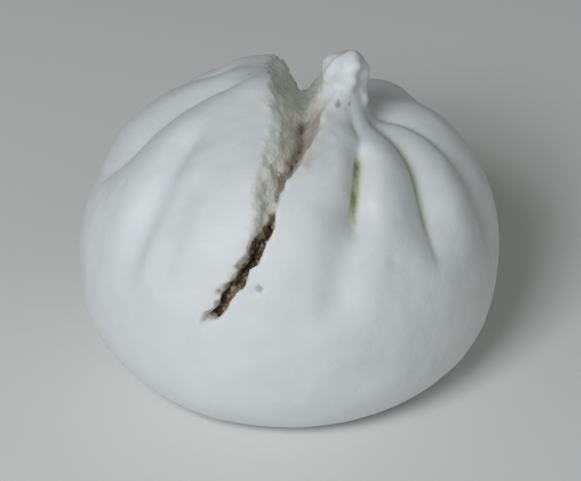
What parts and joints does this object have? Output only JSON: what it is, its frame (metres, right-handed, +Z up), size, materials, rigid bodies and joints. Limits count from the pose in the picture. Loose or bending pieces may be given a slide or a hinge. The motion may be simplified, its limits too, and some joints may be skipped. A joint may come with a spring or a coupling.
{
  "type": "char siu bao",
  "caption": "Round steamed bun of pleated white dough, burst open across the top over a dark pork filling, with a pinched stub and a flat underside.",
  "frame": {"origin": "centre of the bun's footprint box, on the flat underside", "axes": "+Z up through the crown; -Y towards the viewer, the side that the burst runs down; +X towards the half that carries the stub"},
  "size_m": [0.0747, 0.0738, 0.0577],
  "materials": {
    "steamed_dough": "soft, moist, faintly translucent white steamed wheat dough, with open crumb on the torn faces",
    "barbecued_pork": "sticky dark brown chopped barbecued pork in sauce"
  },
  "bodies": {
    "root": {"dough": "steamed_dough", "filling": "barbecued_pork"}
  },
  "joints": []
}
